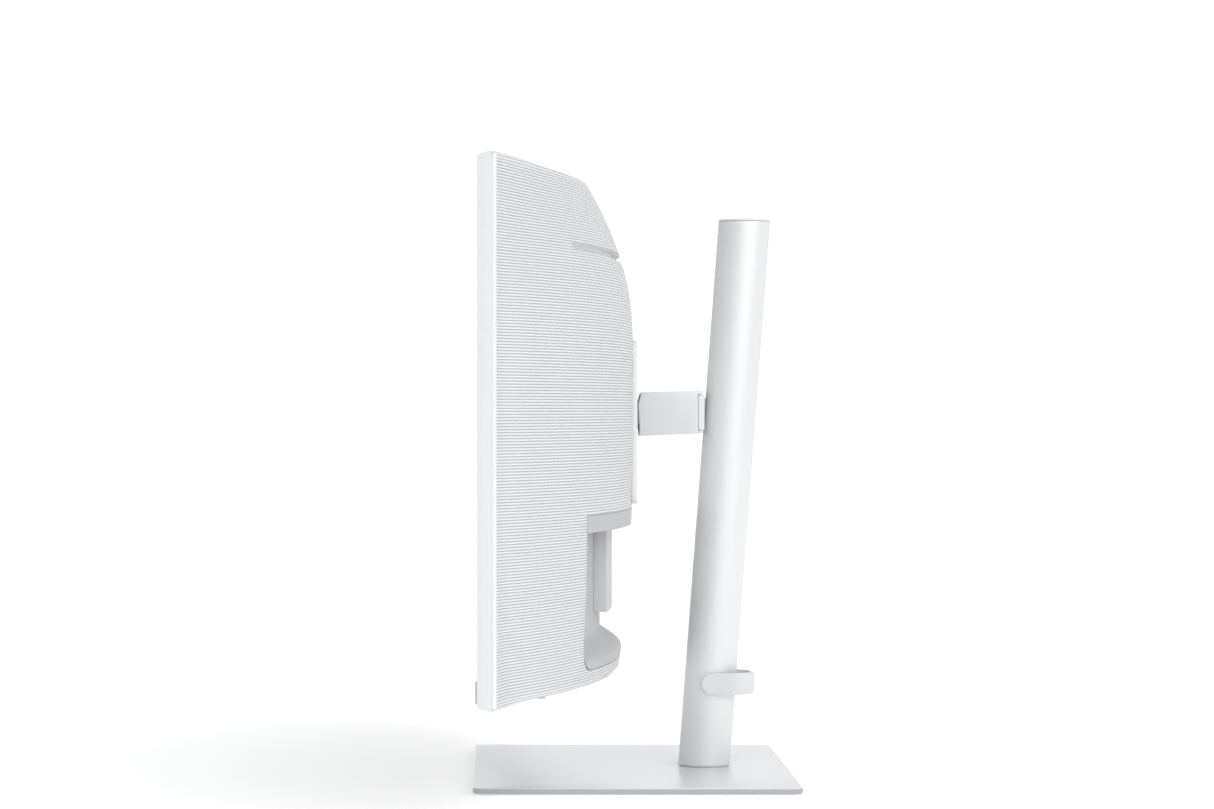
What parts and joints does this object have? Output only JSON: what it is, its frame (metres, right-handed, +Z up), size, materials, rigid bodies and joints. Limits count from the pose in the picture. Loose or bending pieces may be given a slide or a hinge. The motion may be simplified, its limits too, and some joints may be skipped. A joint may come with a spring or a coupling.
{
  "type": "computer monitor",
  "caption": "Wide curved desktop monitor with a ribbed rear cover, cable bay, tilting head and height-adjustable leaning round pole on a flat base.",
  "frame": {"origin": "centre of the rectangular base, on the desk", "axes": "+X along the screen's width, +Y from the screen to the back, +Z up"},
  "size_m": [0.807, 0.2386, 0.4474],
  "materials": {
    "white_plastic": "fine moulded satin",
    "ribbed_white": "fine horizontal ribs, satin",
    "white_metal": "smooth satin paint",
    "grey_plastic": "satin",
    "black_plastic": "satin",
    "screen_glass": "anti-glare film, satin",
    "steel": "zinc plated",
    "aluminium": "as cast",
    "brass": "plain",
    "rubber": "matt",
    "nylon": "waxy",
    "board": "solder mask"
  },
  "bodies": {
    "base": {"base_plate": "white_metal", "base_foot_1": "rubber", "base_foot_2": "rubber", "base_foot_3": "rubber", "base_foot_4": "rubber", "base_foot_5": "rubber", "base_foot_6": "rubber", "swivel_washer": "nylon"},
    "pole": {"pole_tube": "white_metal", "pole_cap": "white_plastic", "pole_foot": "aluminium", "swivel_flange": "steel", "pole_bolt": "steel", "spring_tail": "steel", "cable_clip": "white_plastic"},
    "lift": {"arm_housing": "white_metal", "arm_core": "aluminium", "arm_shoe": "white_plastic", "tilt_pin": "steel", "friction_washer_left": "brass", "friction_washer_right": "brass", "lift_carriage": "aluminium", "carriage_pad_upper": "nylon", "carriage_pad_lower": "nylon", "spring_roll": "steel"},
    "head": {"frame_band": "white_plastic", "front_glass": "screen_glass", "display_module": "black_plastic", "led_strip": "nylon", "bottom_bezel": "white_plastic", "steel_chassis": "steel", "rear_cover": "ribbed_white", "vent_grille": "grey_plastic", "port_bay": "white_plastic", "port_housing": "white_plastic", "hdmi_socket_1": "steel", "hdmi_socket_2": "steel", "display_socket": "steel", "usb_c_socket": "steel", "usb_a_socket_1": "steel", "usb_a_socket_2": "steel", "power_jack": "black_plastic", "audio_jack": "black_plastic", "main_board": "board", "power_board": "board", "stand_bracket": "steel", "speaker_left": "black_plastic", "speaker_right": "black_plastic", "jog_switch": "black_plastic", "cover_screw_1": "steel", "cover_screw_2": "steel", "cover_screw_3": "steel", "cover_screw_4": "steel", "mount_plate": "white_plastic", "tilt_bracket": "steel"},
    "release_button": {"release_button": "white_plastic"},
    "jog_cradle": {"jog_cradle": "nylon"},
    "jog_stem": {"jog_stem": "nylon"},
    "jog_cap": {"jog_cap": "grey_plastic"}
  },
  "joints": [
    {"name": "pole_swivel", "type": "hinge", "parent": "base", "child": "pole", "pos_m": [0, 0.0567, 0.005], "axis": [0, 0, 1], "range_deg": [-30, 30]},
    {"name": "height_slide", "type": "slide", "parent": "pole", "child": "lift", "axis": [0, 0.0743, 0.9972], "range_m": [0, 0.11]},
    {"name": "head_tilt", "type": "hinge", "parent": "lift", "child": "head", "pos_m": [0, 0.02, 0.275], "axis": [-1, 0, 0], "range_deg": [-2, 20]},
    {"name": "release_press", "type": "slide", "parent": "head", "child": "release_button", "axis": [0, -1, 0], "range_m": [0, 0.001], "stiffness_N_per_m": 600, "springref_m": -0.002},
    {"name": "jog_rock_front", "type": "hinge", "parent": "head", "child": "jog_cradle", "pos_m": [0, -0.043, 0.0924], "axis": [1, 0, 0], "range_deg": [-6, 6], "stiffness_Nm_per_rad": 0.06},
    {"name": "jog_rock_side", "type": "hinge", "parent": "jog_cradle", "child": "jog_stem", "pos_m": [0, -0.043, 0.0924], "axis": [0, 1, 0], "range_deg": [-6, 6], "stiffness_Nm_per_rad": 0.06},
    {"name": "jog_press", "type": "slide", "parent": "jog_stem", "child": "jog_cap", "axis": [0, 0, 1], "range_m": [0, 0.0006], "stiffness_N_per_m": 500, "springref_m": -0.001}
  ]
}
